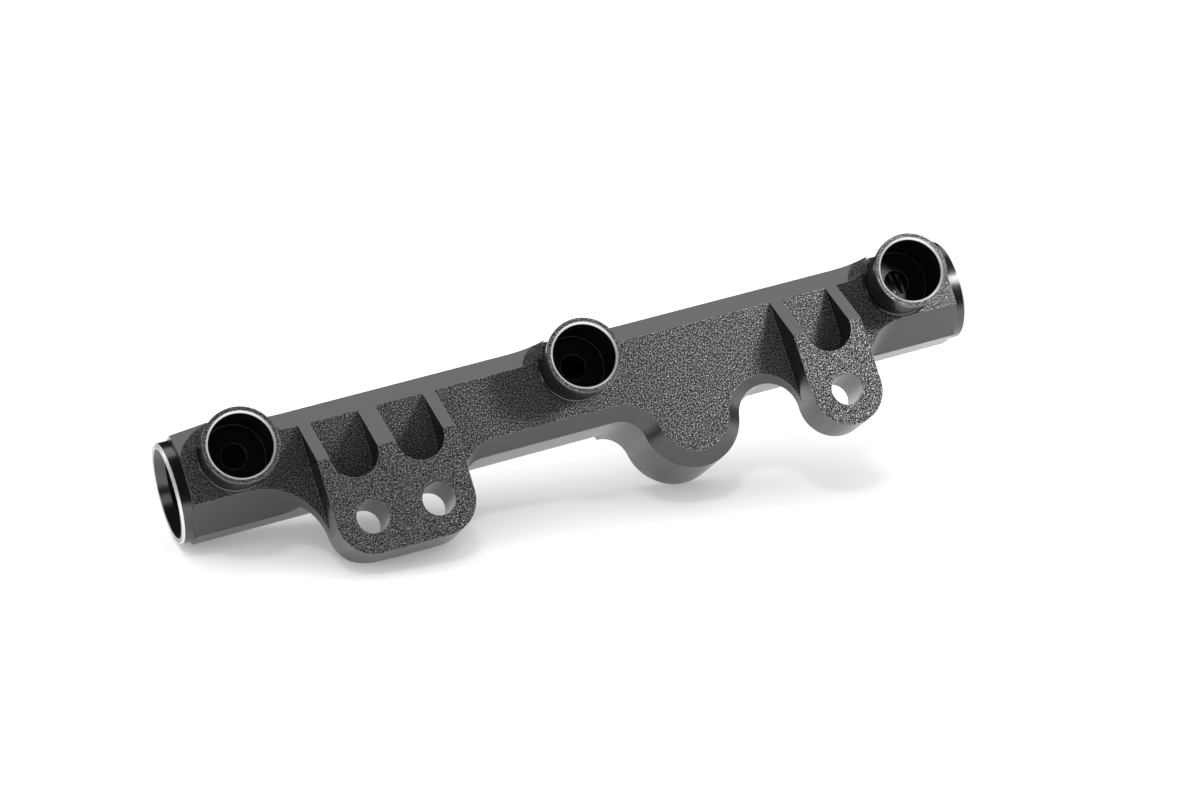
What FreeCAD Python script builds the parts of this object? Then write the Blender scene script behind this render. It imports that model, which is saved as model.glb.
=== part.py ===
"""Fuel rail: one machined aluminium bar with three injector cups and bolting lugs.

Frame: X along the rail, Y towards the side that is cut back around the cups,
Z along the cups and out of their mouths. The origin is on the middle cup's
axis, at the level of the bar's front face. Millimetres.
"""
import FreeCAD, Part
import math
import os
import Sketcher

SIZES = {
    # bar
    "bar_depth": 22.0,          # front face to back face
    "stock_top": 9.4,           # top of the stock, +Y, before it is cut back
    "bar_bottom": 13.45,        # bottom side, -Y
    "face_top": 2.65,           # front face, upper edge
    "face_bottom": 7.95,        # front face, lower edge
    "top_fall": 0.8536,         # fall of the upper bevels per mm of Y
    "bottom_bevel": 7.07,       # depth of the lower bevels
    "end_left": 11.0,           # end cup's axis to the bar's end
    "end_right": 11.5,
    # outline of the top side
    "top_low": 6.67,            # between the cups
    "top_end": 8.35,            # at the bar's ends
    "horn_height": 8.1,         # beside each cup, towards the next one
    "horn_end_height": 9.2,     # beside the end cups, towards the bar's ends
    "horn_gap": 2.4,            # half the gap between a cup's two horns
    "horn_floor": 8.0,
    "horn_run": 12.5,           # from a cup's axis to the flat stretch
    # end collars and the passage
    "gallery_low": 2.4,         # passage axis below the cups' axes
    "collar_radius": 10.85,
    "collar_length": 2.8,
    "collar_chamfer": 0.5,
    "port_mouth_radius": 9.75,
    "port_seat_depth": 2.3,
    "port_thread_radius": 8.75,
    "port_thread_depth": 17.0,
    "gallery_radius": 6.25,
    # injector cups
    "cup_pitch": 75.5,
    "cup_height": 10.0,
    "cup_wall_radius": 7.35,
    "cup_foot": 15.0,           # how far the cup's wall runs into the bar
    "lip_radius": 8.15,
    "lip_height": 1.4,
    "lip_chamfer": 0.15,
    "root_fillet": 0.7,
    "root_sweep": 236.0,
    "bore_radius": 6.75,
    "bore_chamfer": 0.55,
    "bore_depth": 11.0,
    "feed_radius": 2.75,
    # flare of the bevel around each cup
    "flare_radius": 5.3,
    "flare_reach": 13.5,
    "notch_radius": 6.0,
    "notch_high": 2.75,
    "notch_depth": 7.6,
    # bolting lugs
    "lug_rise": 8.2,
    "lug_back": 3.0,
    "hole_row": 21.1,
    "hole_radius": 3.5,
    "boss_radius": 7.85,
    "hole_one": -53.05,
    "hole_two": -38.65,
    "hole_three": 53.9,
    "pocket_width": 10.5,
    "pocket_end": 12.45,
    # lower edge between the lugs
    "edge_chamfer": 3.0,
    "left_sweep": 14.1,
    "right_sweep": 12.3,
    "inner_corner": 6.7,
    "knee_centre": 22.05,
    "knee_low": 16.6,
    "knee_radius": 10.9,
    "knee_flank": 5.65,
    "knee_back_chamfer": 2.0,
    "arch_radius": 6.75,
    "arch_face_radius": 8.25,
    # how far a cutting or joining block runs past the stock
    "margin": 4.0,
}

doc = FreeCAD.newDocument("fuel_rail")
sheet = doc.addObject("Spreadsheet::Sheet", "Sizes")
for row, (alias, number) in enumerate(SIZES.items(), start=1):
    sheet.set("A%d" % row, alias)
    sheet.set("B%d" % row, str(number))
    sheet.setAlias("B%d" % row, alias)
doc.recompute()


class Size:
    """A length that carries the sheet expression that gives it."""

    def __init__(self, value, text):
        self.value, self.text = float(value), text

    @staticmethod
    def of(other):
        return other if isinstance(other, Size) else Size(other, repr(float(other)))

    def __add__(self, other):
        other = Size.of(other)
        return Size(self.value + other.value, "(%s + %s)" % (self.text, other.text))

    def __sub__(self, other):
        other = Size.of(other)
        return Size(self.value - other.value, "(%s - %s)" % (self.text, other.text))

    def __mul__(self, other):
        other = Size.of(other)
        return Size(self.value * other.value, "(%s * %s)" % (self.text, other.text))

    def __truediv__(self, other):
        other = Size.of(other)
        return Size(self.value / other.value, "(%s / %s)" % (self.text, other.text))

    def __neg__(self):
        return Size(-self.value, "(0 - %s)" % self.text)

    def root(self):
        return Size(math.sqrt(self.value), "sqrt(%s)" % self.text)


def size(alias):
    return Size(sheet.get(alias), "Sizes.%s" % alias)


ZERO = Size(0, "0")


def bind(thing, prop, value):
    """Set a property and tie it to its expression."""
    thing.setExpression(prop, value.text)


def new_body(name):
    return doc.addObject("PartDesign::Body", name)


def sketch_on(body, role, name, shift=(ZERO, ZERO, ZERO)):
    """A sketch on one of the body's origin planes, moved in the plane's own axes."""
    plane = next(f for f in body.Origin.OriginFeatures if f.Role == role)
    sk = body.newObject("Sketcher::SketchObject", name)
    sk.AttachmentSupport = [(plane, "")]
    sk.MapMode = "FlatFace"
    for axis, value in zip("xyz", shift):
        bind(sk, "AttachmentOffset.Base." + axis, value)
    doc.recompute()
    return sk


def tie_point(sk, geo, end, x, y):
    for kind, value in (("DistanceX", x), ("DistanceY", y)):
        index = sk.addConstraint(Sketcher.Constraint(kind, -1, 1, geo, end, value.value))
        sk.setExpression("Constraints[%d]" % index, value.text)


def outline(sk, points, arcs=None):
    """A closed outline. arcs: {leg: (radius, turn)}, turn +1 anticlockwise, -1 clockwise."""
    arcs = arcs or {}
    vectors = [FreeCAD.Vector(x.value, y.value, 0) for x, y in points]
    count, legs = len(points), []
    for i, start in enumerate(vectors):
        end = vectors[(i + 1) % count]
        if i in arcs:
            radius, turn = arcs[i]
            chord = end - start
            half = chord.Length / 2
            rise = math.sqrt(max(radius.value ** 2 - half ** 2, 0.0))
            left = FreeCAD.Vector(-chord.y, chord.x, 0).normalize()
            centre = (start + end) / 2 + left * rise * turn
            a, b = start - centre, end - centre
            first, last = math.atan2(a.y, a.x), math.atan2(b.y, b.x)
            circle = Part.Circle(centre, FreeCAD.Vector(0, 0, 1), radius.value)
            span = (first, last) if turn > 0 else (last, first)
            legs.append((sk.addGeometry(Part.ArcOfCircle(circle, *span)), turn))
        else:
            legs.append((sk.addGeometry(Part.LineSegment(start, end)), 1))
    for i, (geo, turn) in enumerate(legs):
        nxt, nxt_turn = legs[(i + 1) % count]
        tie_point(sk, geo, 1 if turn > 0 else 2, *points[i])
        sk.addConstraint(Sketcher.Constraint(
            "Coincident", geo, 2 if turn > 0 else 1, nxt, 1 if nxt_turn > 0 else 2))
        if i not in arcs:
            continue
        start, end = points[i], points[(i + 1) % count]
        chord = vectors[(i + 1) % count] - vectors[i]
        if chord.Length > 2 * arcs[i][0].value - 1e-6:      # a half circle: hold its centre
            axis = 1 if abs(chord.x) > abs(chord.y) else 0
            value = (start[axis] + end[axis]) / 2
            index = sk.addConstraint(Sketcher.Constraint(
                ("DistanceX", "DistanceY")[axis], -1, 1, geo, 3, value.value))
            sk.setExpression("Constraints[%d]" % index, value.text)
        else:
            index = sk.addConstraint(Sketcher.Constraint("Radius", geo, arcs[i][0].value))
            sk.setExpression("Constraints[%d]" % index, arcs[i][0].text)
    return sk


def ring(sk, x, y, radius):
    geo = sk.addGeometry(Part.Circle(FreeCAD.Vector(x.value, y.value, 0),
                                     FreeCAD.Vector(0, 0, 1), radius.value))
    tie_point(sk, geo, 3, x, y)
    index = sk.addConstraint(Sketcher.Constraint("Radius", geo, radius.value))
    sk.setExpression("Constraints[%d]" % index, radius.text)


def pad(body, sk, name, length, back=False):
    feature = body.newObject("PartDesign::Pad", name)
    feature.Profile = sk
    bind(feature, "Length", length)
    feature.Reversed = back
    doc.recompute()
    return feature


def pocket(body, sk, name, length=None, back=False):
    """A cut against the sketch's normal, or along it with back."""
    before = body.Shape.Volume
    feature = body.newObject("PartDesign::Pocket", name)
    feature.Profile = sk
    if length is None:
        feature.Type = "ThroughAll"
    else:
        bind(feature, "Length", length)
    feature.Reversed = back
    doc.recompute()
    if not body.Shape.Volume < before - 1e-6:
        raise RuntimeError(name + " cuts nothing")
    return feature


def turned(body, sk, name, kind, axis):
    feature = body.newObject("PartDesign::" + kind, name)
    feature.Profile = sk
    feature.ReferenceAxis = (sk, [axis])
    feature.Angle = 360
    doc.recompute()
    return feature


# ---------------------------------------------------------------- bar and lugs
depth = size("bar_depth")
top, bottom = size("stock_top"), size("bar_bottom")
face_top, face_bottom = size("face_top"), size("face_bottom")
slope, bottom_bevel = size("top_fall"), size("bottom_bevel")
top_bevel = (top - face_top) * slope
pitch, margin = size("cup_pitch"), size("margin")
left_end, right_end = -(pitch + size("end_left")), pitch + size("end_right")

rail = new_body("rail_blank")

sk = sketch_on(rail, "YZ_Plane", "bar_section", (ZERO, ZERO, left_end))
outline(sk, [
    (face_top, ZERO), (top, -top_bevel), (top, top_bevel - depth), (face_top, -depth),
    (-face_bottom, -depth), (-bottom, bottom_bevel - depth), (-bottom, -bottom_bevel),
    (-face_bottom, ZERO)])
pad(rail, sk, "bar", right_end - left_end)

# the lugs stand in front of the bar and end behind it in a thin foot
rise, lug_back = size("lug_rise"), size("lug_back")
row_y, boss = -size("hole_row"), size("boss_radius")
hole_x = [size("hole_one"), size("hole_two"), size("hole_three")]
lugs = [(hole_x[0], hole_x[1]), (hole_x[2], hole_x[2])]
lug_side = [(first - boss, last + boss) for first, last in lugs]
for label, (first, last), (low_x, high_x) in zip(("long", "short"), lugs, lug_side):
    sk = sketch_on(rail, "XY_Plane", label + "_lug_outline", (ZERO, ZERO, -lug_back))
    if first is last:
        points = [(low_x, face_top), (low_x, row_y), (high_x, row_y), (high_x, face_top)]
        rounds = {1: (boss, 1)}
    else:
        points = [(low_x, face_top), (low_x, row_y), (first, row_y - boss),
                  (last, row_y - boss), (high_x, row_y), (high_x, face_top)]
        rounds = {1: (boss, 1), 3: (boss, 1)}
    outline(sk, points, rounds)
    pad(rail, sk, label + "_lug", rise + lug_back)

# the upper bevel runs on across the lugs' fronts
over = rise + margin * 0.5
sk = sketch_on(rail, "YZ_Plane", "lug_front_cut", (ZERO, ZERO, right_end))
outline(sk, [(face_top, ZERO), (face_top + margin, ZERO), (face_top + margin, over),
             (face_top - over / slope, over)])
pocket(rail, sk, "lug_fronts")

# U pockets in the lugs, down to the front face
half_pocket = size("pocket_width") / 2
pocket_centre = half_pocket - size("pocket_end")
for label, x in zip(("one", "two", "three"), hole_x):
    sk = sketch_on(rail, "XY_Plane", "pocket_%s_outline" % label, (ZERO, ZERO, rise))
    outline(sk, [(x - half_pocket, face_top + 1), (x - half_pocket, pocket_centre),
                 (x + half_pocket, pocket_centre), (x + half_pocket, face_top + 1)],
            {1: (half_pocket, 1)})
    pocket(rail, sk, "pocket_" + label, rise)

sk = sketch_on(rail, "XY_Plane", "bolt_holes_outline", (ZERO, ZERO, rise))
for x in hole_x:
    ring(sk, x, row_y, size("hole_radius"))
pocket(rail, sk, "bolt_holes")

# ---------------------------------------------------------------- lower edge
inside = -face_bottom + 3           # a line inside the bar, where the fillers end


def swept_corner(name, side, outward, upper):
    """The filler between the bar's bottom side and a lug's outer side.

    Its face runs from an arc in the front face to a smaller one at the foot of
    the lower bevel, both tangent to the lug's side.
    """
    fall = bottom - face_bottom
    lower = upper - fall
    sections = []
    for tag, radius, line_y, level in (("upper", upper, -face_bottom, ZERO),
                                       ("lower", lower, -bottom, -bottom_bevel)):
        far_x = side + radius * outward
        in_x = side - Size.of(outward) * 2
        sk = sketch_on(rail, "XY_Plane", "%s_%s_arc" % (name, tag), (ZERO, ZERO, level))
        outline(sk, [(side, line_y - radius), (far_x, line_y), (far_x, inside),
                     (in_x, inside), (in_x, line_y - radius)], {0: (radius, -outward)})
        sections.append(sk)
    loft = rail.newObject("PartDesign::AdditiveLoft", name)
    loft.Profile = sections[0]
    loft.Sections = sections[1:]
    loft.Ruled = True
    doc.recompute()
    # below the lug's back the filler stops at the bar's side
    sk = sketch_on(rail, "XY_Plane", name + "_foot_cut", (ZERO, ZERO, -lug_back))
    far_x = side + upper * outward
    near_x = side - Size.of(outward) * 3
    outline(sk, [(far_x, -bottom), (near_x, -bottom), (near_x, -bottom - upper),
                 (far_x, -bottom - upper)])
    pocket(rail, sk, name + "_foot", bottom_bevel)


swept_corner("left_corner", lug_side[0][0], -1, size("left_sweep"))
swept_corner("right_corner", lug_side[1][1], 1, size("right_sweep"))

chamfer = size("edge_chamfer")
knee_x, knee_y, knee_r = size("knee_centre"), -size("knee_low"), size("knee_radius")
flank_r, arch_r = size("knee_flank"), size("arch_radius")
flank_y = -bottom - flank_r
reach = flank_r + knee_r
flank_x = knee_x - (reach * reach - (knee_y - flank_y) * (knee_y - flank_y)).root()


def between(a, b, part):
    return a + (b - a) * part


def lower_outline(offset, arch):
    """Outline of the edge between the lugs, drawn in by offset, with its own arch."""
    left, right = lug_side[0][1], lug_side[1][0]
    corner = size("inner_corner") + offset
    line_y = -bottom + offset
    knee, flank = knee_r - offset, flank_r + offset
    arch_x = right - arch
    span = knee + arch
    arch_y = knee_y - (span * span - (arch_x - knee_x) * (arch_x - knee_x)).root()
    in_knee = knee / (knee + flank)
    in_arch = knee / span
    points = [
        (left, line_y - corner),
        (left + corner, line_y),
        (flank_x, line_y),
        (between(knee_x, flank_x, in_knee), between(knee_y, flank_y, in_knee)),
        (between(knee_x, arch_x, in_arch), between(knee_y, arch_y, in_arch)),
        (right, arch_y),
        (right + 2, arch_y),
        (right + 2, inside),
        (left - 2, inside),
        (left - 2, line_y - corner),
    ]
    arcs = {0: (corner, -1), 2: (flank, -1), 3: (knee, 1), 4: (arch, -1)}
    return points, arcs


sections = []
for tag, offset, arch, level in (("front", chamfer, size("arch_face_radius"), ZERO),
                                 ("foot", ZERO, arch_r, -chamfer)):
    sk = sketch_on(rail, "XY_Plane", "lower_edge_" + tag, (ZERO, ZERO, level))
    outline(sk, *lower_outline(offset, arch))
    sections.append(sk)
loft = rail.newObject("PartDesign::AdditiveLoft", "lower_edge")
loft.Profile = sections[0]
loft.Sections = sections[1:]
loft.Ruled = True
doc.recompute()

# the bar's full bottom side between the lugs
sk = sketch_on(rail, "YZ_Plane", "lower_fill_section", (ZERO, ZERO, lug_side[0][1] - 1))
outline(sk, [(inside, -chamfer), (-bottom, -chamfer), (-bottom, bottom_bevel - depth),
             (inside, bottom_bevel - depth)])
pad(rail, sk, "lower_fill", lug_side[1][0] - lug_side[0][1] + 2)


def knee_outline(offset):
    """The thick knee under the bar, from its left flank to the top of the arch."""
    knee, flank, arch = knee_r - offset, flank_r + offset, arch_r + offset
    arch_x = lug_side[1][0] - arch_r
    arch_y = knee_y - ((knee_r + arch_r) * (knee_r + arch_r)
                       - (arch_x - knee_x) * (arch_x - knee_x)).root()
    in_knee, in_arch = knee / (knee + flank), knee / (knee + arch)
    points = [
        (flank_x, -bottom + offset),
        (between(knee_x, flank_x, in_knee), between(knee_y, flank_y, in_knee)),
        (between(knee_x, arch_x, in_arch), between(knee_y, arch_y, in_arch)),
        (arch_x, arch_y + arch),
        (arch_x, inside),
        (flank_x, inside),
    ]
    return points, {0: (flank, -1), 1: (knee, 1), 2: (arch, -1)}


back_chamfer = size("knee_back_chamfer")
sk = sketch_on(rail, "XY_Plane", "knee_section", (ZERO, ZERO, -chamfer))
outline(sk, *knee_outline(ZERO))
pad(rail, sk, "knee", depth - chamfer - back_chamfer, back=True)
sections = []
for tag, offset, level in (("upper", ZERO, back_chamfer - depth), ("lower", back_chamfer, -depth)):
    sk = sketch_on(rail, "XY_Plane", "knee_back_" + tag, (ZERO, ZERO, level))
    outline(sk, *knee_outline(offset))
    sections.append(sk)
loft = rail.newObject("PartDesign::AdditiveLoft", "knee_back")
loft.Profile = sections[0]
loft.Sections = sections[1:]
loft.Ruled = True
doc.recompute()

# ---------------------------------------------------------------- top side
cup_x = [-pitch, ZERO, pitch]
low, horn, horn_end = size("top_low"), size("horn_height"), size("horn_end_height")
gap, floor, run = size("horn_gap"), size("horn_floor"), size("horn_run")
climb = horn - low
sweep = ((run - gap) * (run - gap) + climb * climb) / (climb * 2)
points, arcs = [(left_end, size("top_end"))], {}
for x in cup_x:
    inner_left = horn_end if x is cup_x[0] else horn
    inner_right = horn_end if x is cup_x[2] else horn
    if x is not cup_x[0]:
        points.append((x - run, low))
        arcs[len(points) - 1] = (sweep, 1)
    points += [(x - gap, inner_left), (x - gap, floor), (x + gap, floor)]
    points.append((x + gap, inner_right))
    if x is not cup_x[2]:
        arcs[len(points) - 1] = (sweep, 1)
        points.append((x + run, low))
points += [(right_end, size("top_end")), (right_end, top + margin), (left_end, top + margin)]
top_cut = new_body("top_cut")
sk = sketch_on(top_cut, "XY_Plane", "top_outline", (ZERO, ZERO, -depth - 1))
outline(sk, points, arcs)
pad(top_cut, sk, "top_cut_pad", depth + margin)

# ---------------------------------------------------------------- end collars
gallery_y, gallery_z = -size("gallery_low"), -(depth / 2)
collar_r, collar_len = size("collar_radius"), size("collar_length")
collar_bevel = size("collar_chamfer")
sk = sketch_on(rail, "XY_Plane", "collar_section", (ZERO, gallery_y, gallery_z))
for side, bar_end in ((-1, left_end), (1, right_end)):
    end_x = bar_end + collar_len * side
    outline(sk, [(bar_end - side, ZERO), (end_x, ZERO),
                 (end_x, collar_r - collar_bevel),
                 (end_x - collar_bevel * side, collar_r),
                 (bar_end - side, collar_r)])
turned(rail, sk, "collars", "Revolution", "H_Axis")

# ---------------------------------------------------------------- flares
wall_r = size("cup_wall_radius")
reach_x = size("flare_reach")
flares = []
spans = [(left_end, cup_x[0] + reach_x), (-reach_x, reach_x),
         (cup_x[2] - reach_x, right_end)]
for label, x, (start, end) in zip(("left", "middle", "right"), cup_x, spans):
    body = new_body("flare_" + label)
    sk = sketch_on(body, "YZ_Plane", "flare_%s_block" % label, (ZERO, ZERO, start))
    crest = face_top - over / slope
    deep = top_bevel - depth
    outline(sk, [(-face_bottom, deep), (top + margin, deep),
                 (top + margin, -(top + margin - face_top) * slope),
                 (crest, over), (crest - margin, over), (-face_bottom, ZERO)])
    pad(body, sk, "flare_%s_slab" % label, end - start)
    sk = sketch_on(body, "XY_Plane", "flare_%s_wall" % label, (ZERO, ZERO, deep))
    ring(sk, x, ZERO, wall_r)
    post = pad(body, sk, "flare_%s_post" % label, over + margin * 2 - deep)
    seam = None
    for number, edge in enumerate(post.Shape.Edges, start=1):
        box = edge.BoundBox
        if (box.XLength > 1.9 * wall_r.value and box.YLength > 1.5 * wall_r.value
                and box.ZLength > wall_r.value and len(edge.Vertexes) < 3
                and edge.Curve.TypeId != "Part::GeomLine"):
            seam = "Edge%d" % number
    fillet = body.newObject("PartDesign::Fillet", "flare_%s_fillet" % label)
    fillet.Base = (post, [seam])
    bind(fillet, "Radius", size("flare_radius"))
    doc.recompute()
    sk = sketch_on(body, "XY_Plane", "flare_%s_level" % label, (ZERO, ZERO, ZERO))
    wide, high = reach_x + margin * 1.5, over + margin * 3
    outline(sk, [(x - wide, -high), (x + wide, -high), (x + wide, high), (x - wide, high)])
    pocket(body, sk, "flare_%s_front" % label, back=True)
    flares.append(body)

# ---------------------------------------------------------------- cups and bores
cup_h, foot = size("cup_height"), size("cup_foot")
lip_r, lip_h, lip_c = size("lip_radius"), size("lip_height"), size("lip_chamfer")
root = size("root_fillet")
bore_r, bore_c = size("bore_radius"), size("bore_chamfer")
bore_end, feed_r = cup_h - size("bore_depth"), size("feed_radius")
notches, cups, bores = [], [], []
for label, x in zip(("left", "middle", "right"), cup_x):
    notch = doc.addObject("Part::Cylinder", "notch_" + label)
    bind(notch, "Radius", size("notch_radius"))
    bind(notch, "Height", size("notch_depth") + 1)
    bind(notch, "Placement.Base.x", x)
    bind(notch, "Placement.Base.y", size("notch_high"))
    bind(notch, "Placement.Base.z", -size("notch_depth"))
    notches.append(notch)

    body = new_body("cup_" + label)
    sk = sketch_on(body, "XZ_Plane", "cup_%s_section" % label, (x, ZERO, ZERO))
    outline(sk, [(ZERO, -foot), (wall_r, -foot), (wall_r, cup_h - lip_h - (lip_r - wall_r)),
                 (lip_r, cup_h - lip_h), (lip_r, cup_h - lip_c),
                 (lip_r - lip_c, cup_h), (ZERO, cup_h)])
    turned(body, sk, "cup_%s_wall" % label, "Revolution", "V_Axis")
    sk = sketch_on(body, "YZ_Plane", "cup_%s_root_section" % label, (ZERO, ZERO, x))
    outline(sk, [(-wall_r + 0.2, -root), (-wall_r + 0.2, root), (-wall_r, root),
                 (-wall_r - root, ZERO), (-wall_r - root, -root)], {2: (root, -1)})
    base = body.newObject("PartDesign::Revolution", "cup_%s_root" % label)
    base.Profile = sk
    base.ReferenceAxis = (sk, ["V_Axis"])
    bind(base, "Angle", size("root_sweep"))
    if hasattr(base, "SideType"):
        base.SideType = "Symmetric"
    else:
        base.Midplane = True
    doc.recompute()
    cups.append(body)

    body = new_body("bore_" + label)
    sk = sketch_on(body, "XZ_Plane", "bore_%s_section" % label, (x, ZERO, ZERO))
    outline(sk, [(ZERO, gallery_z), (feed_r, gallery_z), (feed_r, bore_end),
                 (bore_r, bore_end), (bore_r, cup_h - bore_c), (bore_r + bore_c + 1, cup_h + 1),
                 (ZERO, cup_h + 1)])
    turned(body, sk, "bore_%s_cut" % label, "Revolution", "V_Axis")
    bores.append(body)

# passage along the bar with a threaded port at each end
gallery = new_body("gallery")
sk = sketch_on(gallery, "XY_Plane", "gallery_section", (ZERO, gallery_y, gallery_z))
mouth_r, thread_r = size("port_mouth_radius"), size("port_thread_radius")
passage_r = size("gallery_radius")
halves = []
for side, bar_end in ((1, right_end), (-1, left_end)):
    end_x = bar_end + collar_len * side
    seat_x = end_x - size("port_seat_depth") * side
    thread_x = end_x - size("port_thread_depth") * side
    drill_x = thread_x - (thread_r - passage_r) * side
    halves.append([(end_x + side, ZERO), (end_x + side, mouth_r), (end_x, mouth_r),
                   (seat_x, thread_r), (thread_x, thread_r), (drill_x, passage_r)])
outline(sk, halves[0] + halves[1][::-1])
turned(gallery, sk, "gallery_cut", "Revolution", "H_Axis")

# ---------------------------------------------------------------- one solid


def joined(kind, name, **links):
    thing = doc.addObject("Part::" + kind, name)
    for key, value in links.items():
        setattr(thing, key, value)
    if hasattr(thing, "Refine"):
        thing.Refine = True
    doc.recompute()
    return thing


bar = joined("MultiFuse", "bar_with_flares", Shapes=[rail] + flares)
notch_set = joined("MultiFuse", "notch_set", Shapes=notches + [top_cut])
relieved = joined("Cut", "bar_with_notches", Base=bar, Tool=notch_set)
solid = joined("MultiFuse", "bar_with_cups", Shapes=[relieved] + cups)
cutters = joined("MultiFuse", "bore_set", Shapes=bores + [gallery])
part = joined("Cut", "rail_body", Base=solid, Tool=cutters)
part.Label = "rail_body"

for thing in doc.Objects:
    if "Invalid" in thing.State or "Error" in thing.State:
        raise RuntimeError("%s: %s" % (thing.Name, thing.State))
shape = part.Shape
if shape.isNull() or not shape.isValid() or len(shape.Solids) != 1:
    raise RuntimeError("rail_body: %s solids, valid %s" % (len(shape.Solids), shape.isValid()))
os.makedirs("parts", exist_ok=True)
shape.exportStep("parts/rail_body.step")
box = shape.BoundBox
print("rail_body volume %.0f mm3, box %.2f x %.2f x %.2f"
      % (shape.Volume, box.XLength, box.YLength, box.ZLength))
print("x %.2f %.2f y %.2f %.2f z %.2f %.2f"
      % (box.XMin, box.XMax, box.YMin, box.YMax, box.ZMin, box.ZMax))
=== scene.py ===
"""Looks of the fuel rail: black anodised bar, threads in its two ports, white studio."""
import math
import bmesh
import bpy
from mathutils import Matrix, Vector


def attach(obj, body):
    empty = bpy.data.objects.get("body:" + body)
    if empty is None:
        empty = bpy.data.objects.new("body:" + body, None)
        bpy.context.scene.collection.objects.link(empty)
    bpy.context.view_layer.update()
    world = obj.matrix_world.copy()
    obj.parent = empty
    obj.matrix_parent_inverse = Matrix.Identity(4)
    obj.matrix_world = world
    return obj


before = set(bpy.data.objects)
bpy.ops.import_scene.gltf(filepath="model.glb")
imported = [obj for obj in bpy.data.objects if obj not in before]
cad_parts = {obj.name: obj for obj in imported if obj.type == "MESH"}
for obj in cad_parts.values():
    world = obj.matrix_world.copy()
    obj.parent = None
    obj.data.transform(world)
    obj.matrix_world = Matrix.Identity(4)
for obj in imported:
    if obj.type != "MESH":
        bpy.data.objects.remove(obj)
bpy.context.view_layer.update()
MM = 0.001
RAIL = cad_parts["rail_body"]

# the photograph's own axes: to the right, up and towards the camera
RIGHT = Vector((0.92732, -0.29719, 0.22748))
UP = Vector((0.24613, 0.94215, 0.22752))
BACK = Vector((-0.28194, -0.15499, 0.94683))
CENTRE = Vector((0.0, -0.005, -0.008))
EYE = Vector((-234.7, -139.2, 798.9)) * MM

# the part's own places, in mm
CUP_PITCH = 75.5
PASSAGE_Y, PASSAGE_Z = -2.4, -11.0      # the axis of the passage and the ports
BOLT_XS, BOLT_Y = (-53.05, -38.65, 53.9), -21.1
FRONT_LEVELS = (0.0, 8.2, 10.0)         # the fronts of the bar, the lugs and the lips
UPPER_BEVEL = Vector((0, 0.8536, 1)).normalized()
LOWER_BEVEL = Vector((0, -7.07, 5.5)).normalized()

# the skin
EDGE_RADIUS = 0.13 * MM
GRAIN_DEPTH = 0.13 * MM
DYED = (0.004, 0.004, 0.0042, 1)
SPARKLE = (0.36, 0.36, 0.363, 1)
BARE_METAL = (0.72, 0.72, 0.72, 1)


# ---------------------------------------------------------------- node helpers
class Graph:
    """Adds nodes to a tree; a number or colour stays on the socket it is given to."""

    def __init__(self, tree):
        self.tree = tree

    def put(self, socket, value):
        if isinstance(value, bpy.types.NodeSocket):
            self.tree.links.new(value, socket)
        elif value is not None:
            socket.default_value = value

    def node(self, kind, inputs=(), **settings):
        n = self.tree.nodes.new(kind)
        for key, value in settings.items():
            setattr(n, key, value)
        pairs = inputs.items() if isinstance(inputs, dict) else enumerate(inputs)
        for key, value in pairs:
            self.put(n.inputs[key], value)
        return n

    def math(self, operation, *values):
        return self.node("ShaderNodeMath", values, operation=operation).outputs[0]

    def ramp(self, value, start, end, low=0.0, high=1.0):
        n = self.node("ShaderNodeMapRange", (value, start, end, low, high),
                      interpolation_type="SMOOTHSTEP")
        return n.outputs[0]

    def noise(self, where, scale, rough):
        n = self.node("ShaderNodeTexNoise",
                      {"Vector": where, "Scale": scale, "Detail": 2.0, "Roughness": rough})
        return n.outputs[0]

    def mix(self, part, a, b):
        n = self.node("ShaderNodeMix", data_type="RGBA")
        self.put(n.inputs[0], part)
        self.put(n.inputs[6], a)
        self.put(n.inputs[7], b)
        return n.outputs[2]

    def blend(self, part, a, b):
        n = self.node("ShaderNodeMix", data_type="FLOAT")
        self.put(n.inputs[0], part)
        self.put(n.inputs[2], a)
        self.put(n.inputs[3], b)
        return n.outputs[0]

    def both(self, *masks):
        value = masks[0]
        for mask in masks[1:]:
            value = self.math("MULTIPLY", value, mask)
        return value

    def within(self, value, start, end, soft):
        """1 between start and end, falling to 0 over soft on either side."""
        up = self.ramp(value, start - soft, start)
        down = self.ramp(value, end, end + soft, 1.0, 0.0)
        return self.math("MULTIPLY", up, down)


def group(name, inputs, outputs):
    """A node group with those sockets: (tree, graph, input node, output node)."""
    tree = bpy.data.node_groups.new(name, "ShaderNodeTree")
    for label, kind in inputs:
        tree.interface.new_socket(name=label, in_out="INPUT", socket_type=kind)
    for label, kind in outputs:
        tree.interface.new_socket(name=label, in_out="OUTPUT", socket_type=kind)
    g = Graph(tree)
    return tree, g, g.node("NodeGroupInput"), g.node("NodeGroupOutput")


def material(name):
    m = bpy.data.materials.new(name)
    m.use_nodes = True
    m.node_tree.nodes.clear()
    return m, Graph(m.node_tree)


# ---------------------------------------------------------------- surface effects
def blasted_skin():
    """Bead-blasted grain: a bump height and a grain mask, both from the place on the part."""
    tree, g, given, out = group("blasted grain", [("Place", "NodeSocketVector")],
                                [("Height", "NodeSocketFloat"), ("Grain", "NodeSocketFloat")])
    place = given.outputs[0]
    g.put(out.inputs[0], g.noise(place, 3700.0, 0.6))
    g.put(out.inputs[1], g.ramp(g.noise(place, 3400.0, 0.7), 0.46, 0.71))
    return tree


def distance(g, a, b):
    return g.math("SQRT", g.math("ADD", g.math("MULTIPLY", a, a), g.math("MULTIPLY", b, b)))


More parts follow.
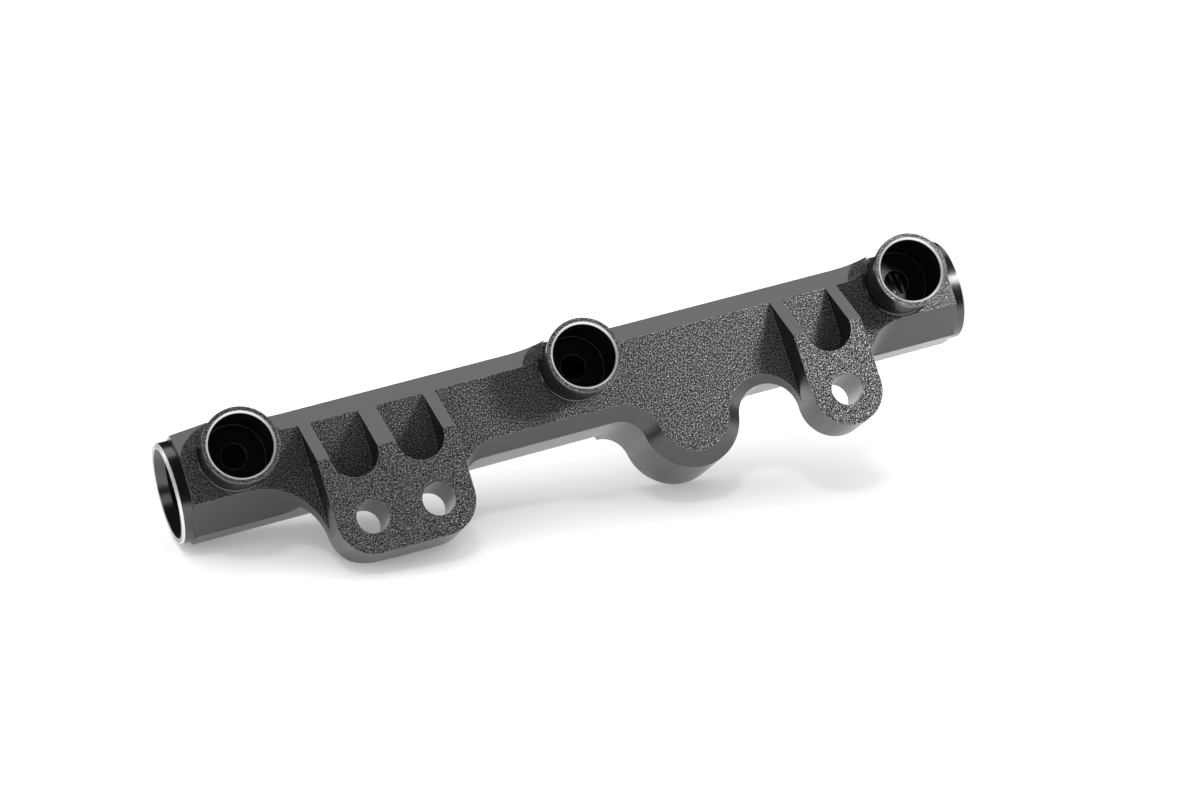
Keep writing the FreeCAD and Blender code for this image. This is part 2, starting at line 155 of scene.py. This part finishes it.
def radius_from_axis(g, place, axis, a, b):
    """Distance from an axis along X (axis 0) or Z (axis 2) through (a, b), in metres."""
    xyz = g.node("ShaderNodeSeparateXYZ", (place,)).outputs
    first, second = [xyz[i] for i in range(3) if i != axis]
    return distance(g, g.math("SUBTRACT", first, a), g.math("SUBTRACT", second, b))


def beside_cup(g, side):
    """Distance along X to the nearest cup's axis, from the distance to the part's middle."""
    past = g.math("ABSOLUTE", g.math("SUBTRACT", side, CUP_PITCH * MM))
    return g.math("MINIMUM", side, past)


def bare_rings():
    """Masks of the cut edges at the cups' mouths and at the ports."""
    tree, g, given, out = group("bright edges", [("Place", "NodeSocketVector")],
                                [("Mouth", "NodeSocketFloat"), ("Port", "NodeSocketFloat")])
    place = given.outputs[0]
    xyz = g.node("ShaderNodeSeparateXYZ", (place,)).outputs
    cup_r = distance(g, beside_cup(g, g.math("ABSOLUTE", xyz[0])), xyz[1])
    ring = g.both(g.ramp(xyz[2], 9.42 * MM, 9.48 * MM),
                  g.within(cup_r, 6.84 * MM, 7.20 * MM, 0.05 * MM))
    g.put(out.inputs[0], ring)
    port_r = radius_from_axis(g, place, 0, PASSAGE_Y * MM, PASSAGE_Z * MM)
    # how far out towards either end; the right end lies 0.5 mm further out than the left
    end = g.math("MAXIMUM", g.math("SUBTRACT", xyz[0], 0.5 * MM),
                 g.math("MULTIPLY", xyz[0], -1.0))
    outer = g.both(g.ramp(end, 88.78 * MM, 88.84 * MM),
                   g.ramp(port_r, 10.28 * MM, 10.36 * MM))
    mouth = g.both(g.ramp(end, 89.12 * MM, 89.18 * MM),
                   g.within(port_r, 9.6 * MM, 9.84 * MM, 0.03 * MM))
    g.put(out.inputs[1], g.math("MAXIMUM", outer, mouth))
    return tree


def plane_mask(g, normal, where):
    """1 on flat faces whose normal is where."""
    dot = g.node("ShaderNodeVectorMath", (normal, where), operation="DOT_PRODUCT").outputs["Value"]
    return g.ramp(dot, 0.9990, 0.9997)


def inside_masks(g, place, xyz, side, beside):
    """Masks of the passage with the left port, the cups' bores and the bolt holes."""
    axis_r = radius_from_axis(g, place, 0, PASSAGE_Y * MM, PASSAGE_Z * MM)
    passage = g.math("MAXIMUM",
                     g.both(g.ramp(axis_r, 8.84 * MM, 8.80 * MM),
                            g.within(xyz[0], -84.0 * MM, -69.7 * MM, 0.2 * MM)),
                     g.both(g.ramp(axis_r, 6.34 * MM, 6.30 * MM),
                            g.within(xyz[0], -73.0 * MM, 72.8 * MM, 0.2 * MM)))
    bores = g.both(g.ramp(distance(g, beside, xyz[1]), 6.79 * MM, 6.77 * MM),
                   g.ramp(side, 86.0 * MM, 85.9 * MM),
                   g.within(xyz[2], -1.1 * MM, 9.36 * MM, 0.02 * MM))
    bolts = 0.0
    for hole_x in BOLT_XS:
        hole_r = radius_from_axis(g, place, 2, hole_x * MM, BOLT_Y * MM)
        bolts = g.math("MAXIMUM", bolts, g.ramp(hole_r, 3.62 * MM, 3.58 * MM))
    return passage, bores, bolts


GRAIN = blasted_skin()
RINGS = bare_rings()


def anodised():
    m, g = material("black anodised aluminium")
    place = g.node("ShaderNodeTexCoord").outputs["Object"]
    normal = g.node("ShaderNodeNewGeometry").outputs["True Normal"]
    local = g.node("ShaderNodeVectorTransform", (normal,), vector_type="NORMAL",
                   convert_from="WORLD", convert_to="OBJECT").outputs[0]
    xyz = g.node("ShaderNodeSeparateXYZ", (place,)).outputs
    nrm = g.node("ShaderNodeSeparateXYZ", (local,)).outputs
    cut = g.math("MAXIMUM", plane_mask(g, local, UPPER_BEVEL), plane_mask(g, local, LOWER_BEVEL))
    # the blasted faces: the fronts of bar, lugs and lips, and the hollows round the cups
    levels = [g.within(xyz[2], (z - 0.08) * MM, (z + 0.08) * MM, 0.04 * MM)
              for z in FRONT_LEVELS]
    front = g.both(g.ramp(nrm[2], 0.985, 0.995),
                   g.math("MAXIMUM", levels[0], g.math("MAXIMUM", levels[1], levels[2])))
    side = g.math("ABSOLUTE", xyz[0])
    beside = beside_cup(g, side)
    hollow = g.both(g.ramp(beside, 14.6 * MM, 14.4 * MM), g.ramp(side, 86.46 * MM, 86.40 * MM),
                    g.within(xyz[1], -8.1 * MM, 10.0 * MM, 0.05 * MM),
                    g.within(xyz[2], -9.0 * MM, 0.02 * MM, 0.02 * MM),
                    g.ramp(nrm[2], 0.20, 0.30), g.math("SUBTRACT", 1.0, cut),
                    g.ramp(distance(g, beside, xyz[1]), 7.25 * MM, 7.35 * MM))
    # the hollows sparkle less than the fronts: painted shade that darkens the hollows round the
    # cups
    spark_share_shaded_hollows = g.math("MAXIMUM", front, g.math("MULTIPLY", hollow, 0.6))
    grain = g.node("ShaderNodeGroup", node_tree=GRAIN)
    rings = g.node("ShaderNodeGroup", node_tree=RINGS)
    for effect in (grain, rings):
        g.put(effect.inputs[0], place)
    bare = g.math("MAXIMUM", rings.outputs[0], rings.outputs[1])
    blasted = g.both(g.math("MAXIMUM", front, hollow), g.math("SUBTRACT", 1.0, bare))
    # the soft edge that machining leaves, and how far it turns from the face
    soft = g.node("ShaderNodeBevel", {"Radius": EDGE_RADIUS}, samples=4).outputs[0]
    turn = g.node("ShaderNodeVectorMath", (soft, normal), operation="DOT_PRODUCT").outputs["Value"]
    # edges are painted towards bare metal where the soft edge turns: partly wear, partly a painted
    # highlight on the thin bright edge lines
    edge_wear_and_highlight = g.ramp(turn, 0.985, 0.90)
    # tool marks on the cut faces, far shallower than the blasted grain
    drag = g.node("ShaderNodeMapping", {"Vector": place, "Scale": (0.15, 1.0, 1.0)}).outputs[0]
    marks = g.math("MULTIPLY", g.noise(drag, 4200.0, 0.5), 0.015)
    height = g.blend(blasted, marks, grain.outputs[0])
    bump = g.node("ShaderNodeBump", {"Strength": 1.0, "Distance": GRAIN_DEPTH, "Height": height,
                                     "Normal": soft})
    spark = g.both(grain.outputs[1], blasted, spark_share_shaded_hollows)
    # the passage and the cups' bores mirror less than the outside, painted shade in these
    # recesses; the bolt holes mirror more, a painted reflection on their walls
    passage, bores, bolts = inside_masks(g, place, xyz, side, beside)
    sheen_and_painted_hole_light = g.blend(passage, g.blend(bores, g.blend(bolts, 0.58, 1.0), 0.28), 0.0)
    # bare cut rings, plus the edges' wear and painted highlight, which is left out in the passage
    bare_wear_and_edge_highlight = g.math("MAXIMUM", bare, g.math("MULTIPLY", edge_wear_and_highlight, g.blend(passage, 0.30, 0.0)))
    metal = g.math("MAXIMUM", g.math("MULTIPLY", bare_wear_and_edge_highlight, 0.65), spark)
    colour = g.mix(bare_wear_and_edge_highlight, g.mix(spark, DYED, SPARKLE), BARE_METAL)
    rough = g.blend(blasted, g.blend(bare, 0.23, 0.35), g.blend(grain.outputs[1], 0.50, 0.27))
    shine = g.node("ShaderNodeBsdfPrincipled", {
        "Base Color": colour, "Metallic": metal, "Roughness": rough,
        "Specular IOR Level": g.blend(blasted, sheen_and_painted_hole_light, 0.05),
        "IOR": 1.75, "Normal": bump.outputs[0]})
    g.node("ShaderNodeOutputMaterial", {"Surface": shine.outputs[0]})
    return m


BLACK = anodised()
for slot in RAIL.material_slots:
    slot.material = BLACK
if not RAIL.material_slots:
    RAIL.data.materials.append(BLACK)


# ---------------------------------------------------------------- port threads
def thread(name, start, end):
    """Ridge of a 3/4-16 thread inside a port, from start to end along X, in mm."""
    pitch, base, crest, steps = 1.5875, 8.80, 8.15, 56
    foot, land = 0.62, 0.12             # half widths of the ridge at its foot and crest
    run_out = 14.0                      # steps over which the ridge rises and falls
    sign = 1.0 if end > start else -1.0
    count = int(abs(end - start) / pitch * steps)
    verts, faces = [], []
    for i in range(count + 1):
        angle = 2 * math.pi * i / steps
        x = start + sign * pitch * i / steps
        fade = min(1.0, i / run_out, (count - i) / run_out)
        top = base - (base - crest) * fade
        for dx, r in ((-foot, base), (-land, top), (land, top), (foot, base)):
            verts.append(((x + dx) * MM, (PASSAGE_Y + r * math.cos(angle)) * MM,
                          (PASSAGE_Z + r * math.sin(angle)) * MM))
        if i:
            a, b = 4 * (i - 1), 4 * i
            faces += [(a + k, a + (k + 1) % 4, b + (k + 1) % 4, b + k) for k in range(4)]
    faces += [(0, 1, 2, 3), tuple(4 * count + k for k in (3, 2, 1, 0))]
    mesh = bpy.data.meshes.new(name)
    mesh.from_pydata(verts, [], faces)
    mesh.validate()
    bm = bmesh.new()
    bm.from_mesh(mesh)
    bmesh.ops.recalc_face_normals(bm, faces=bm.faces)
    bm.to_mesh(mesh)
    bm.free()
    piece = bpy.data.objects.new(name, mesh)
    bpy.context.scene.collection.objects.link(piece)
    piece.data.materials.append(BLACK)
    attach(piece, "root")
    return piece


THREADS = [thread("left_port_thread", -85.6, -79.6), thread("right_port_thread", 86.1, 73.9)]


# ---------------------------------------------------------------- studio
def lamp_from(name, data, away):
    """A lamp that shines towards the part from the direction away."""
    lamp = bpy.data.objects.new(name, data)
    lamp.rotation_mode = "QUATERNION"
    lamp.rotation_quaternion = away.to_track_quat("Z", "Y")
    bpy.context.scene.collection.objects.link(lamp)
    return lamp


def area(name, offset, wide, high, power):
    """A soft box at offset (right, up, back) in metres from the part, turned towards it."""
    where = CENTRE + RIGHT * offset[0] + UP * offset[1] + BACK * offset[2]
    data = bpy.data.lights.new(name, "AREA")
    data.shape = "RECTANGLE"
    data.size, data.size_y = wide, high
    data.energy = power
    lamp = lamp_from(name, data, where - CENTRE)
    lamp.location = where
    lamp.visible_camera = False
    return lamp


def only_on(lamp, *pieces):
    """lamp lights these objects alone; the others still throw their shadows."""
    receivers = bpy.data.collections.new(lamp.name + " receivers")
    for piece in pieces:
        receivers.objects.link(piece)
    lamp.light_linking.receiver_collection = receivers


area("top softbox", (0.0, 0.60, -0.145), 0.74, 0.36, 1.18)
area("right strip", (0.55, 0.22, -0.40), 0.25, 0.4, 0.4)
area("left rear strip", (-0.60, 0.10, -0.25), 0.2, 0.5, 1.0)
area("left strip", (-0.43, 0.0, 0.55), 0.25, 0.3, 0.35)
# the key light draws the blasted grain and is flagged off the floor
only_on(area("key softbox", (0.235, 0.128, 0.124), 0.07, 0.07, 0.80), RAIL, *THREADS)

# how bright the surroundings are where the part mirrors them
MIRRORED_DARK = 0.02

# the floor the part lies on, seen in the photograph's tilt
TILT = Vector((0.128, 0.814, 0.566)).normalized()
LEVEL, HALF_FLOOR = -31.3 * MM, 3.0
mesh = bpy.data.meshes.new("studio_floor")
across = (RIGHT - TILT * RIGHT.dot(TILT)).normalized()
along = TILT.cross(across)
corners = [TILT * LEVEL + across * (a * HALF_FLOOR) + along * (b * HALF_FLOOR)
           for a, b in ((-1, -1), (1, -1), (1, 1), (-1, 1))]
mesh.from_pydata([tuple(c) for c in corners], [], [(0, 1, 2, 3)])
floor = bpy.data.objects.new("studio_floor", mesh)
bpy.context.scene.collection.objects.link(floor)
if mesh.polygons[0].normal.dot(TILT) < 0:
    mesh.flip_normals()


def white_floor():
    m, g = material("studio white")
    paint = g.node("ShaderNodeBsdfDiffuse", {"Color": (0.80, 0.80, 0.80, 1)})
    glow = g.node("ShaderNodeEmission", {"Color": (1, 1, 1, 1), "Strength": 0.20})
    paper = g.node("ShaderNodeAddShader", (paint.outputs[0], glow.outputs[0]))
    # mirrored in the part, the floor fades out between 12 and 22 cm from the origin
    place = g.node("ShaderNodeNewGeometry").outputs["Position"]
    reach = g.node("ShaderNodeVectorMath", (place,), operation="LENGTH").outputs["Value"]
    mirrored = g.node("ShaderNodeLightPath").outputs["Is Glossy Ray"]
    dark = g.node("ShaderNodeEmission", {"Color": (1, 1, 1, 1), "Strength": MIRRORED_DARK})
    sheet = g.node("ShaderNodeMixShader", (g.both(mirrored, g.ramp(reach, 0.12, 0.22)),
                                           paper.outputs[0], dark.outputs[0]))
    # seen from below, the floor isn't there
    clear = g.node("ShaderNodeBsdfTransparent")
    back = g.node("ShaderNodeNewGeometry").outputs["Backfacing"]
    one_sided = g.node("ShaderNodeMixShader", (back, sheet.outputs[0], clear.outputs[0]))
    g.node("ShaderNodeOutputMaterial", {"Surface": one_sided.outputs[0]})
    return m


floor.data.materials.append(white_floor())

# a distant light for the floor alone keeps the shadows close to the part
sun = bpy.data.lights.new("floor light", "SUN")
sun.energy = 0.45
sun.angle = math.radians(8.0)
only_on(lamp_from("floor light", sun, RIGHT * -0.05 + UP * 0.70 + BACK * 0.71), floor)

# the world: white to the camera, bright to what it lights, dark where it is mirrored
world = bpy.data.worlds.new("studio")
world.use_nodes = True
world.node_tree.nodes.clear()
g = Graph(world.node_tree)
mirrored = g.node("ShaderNodeLightPath").outputs["Is Glossy Ray"]
spread = g.node("ShaderNodeLightPath").outputs["Is Diffuse Ray"]
white, dim, fill = [g.node("ShaderNodeBackground", {"Color": (1, 1, 1, 1), "Strength": strength})
                    for strength in (1.0, MIRRORED_DARK, 1.22)]
pick = g.node("ShaderNodeMixShader", (mirrored, white.outputs[0], dim.outputs[0]))
pick = g.node("ShaderNodeMixShader", (spread, pick.outputs[0], fill.outputs[0]))
g.node("ShaderNodeOutputWorld", {"Surface": pick.outputs[0]})
bpy.context.scene.world = world

lens = bpy.data.cameras.new("photo camera")
lens.sensor_width = 36.0
lens.lens = 119.61
lens.clip_start, lens.clip_end = 0.01, 20.0
camera = bpy.data.objects.new("photo camera", lens)
turn = Matrix((RIGHT, UP, BACK)).transposed()
camera.matrix_world = Matrix.Translation(EYE) @ turn.to_4x4()
bpy.context.scene.collection.objects.link(camera)
bpy.context.scene.camera = camera
bpy.context.scene.view_settings.view_transform = "Standard"
bpy.context.scene.view_settings.look = "None"
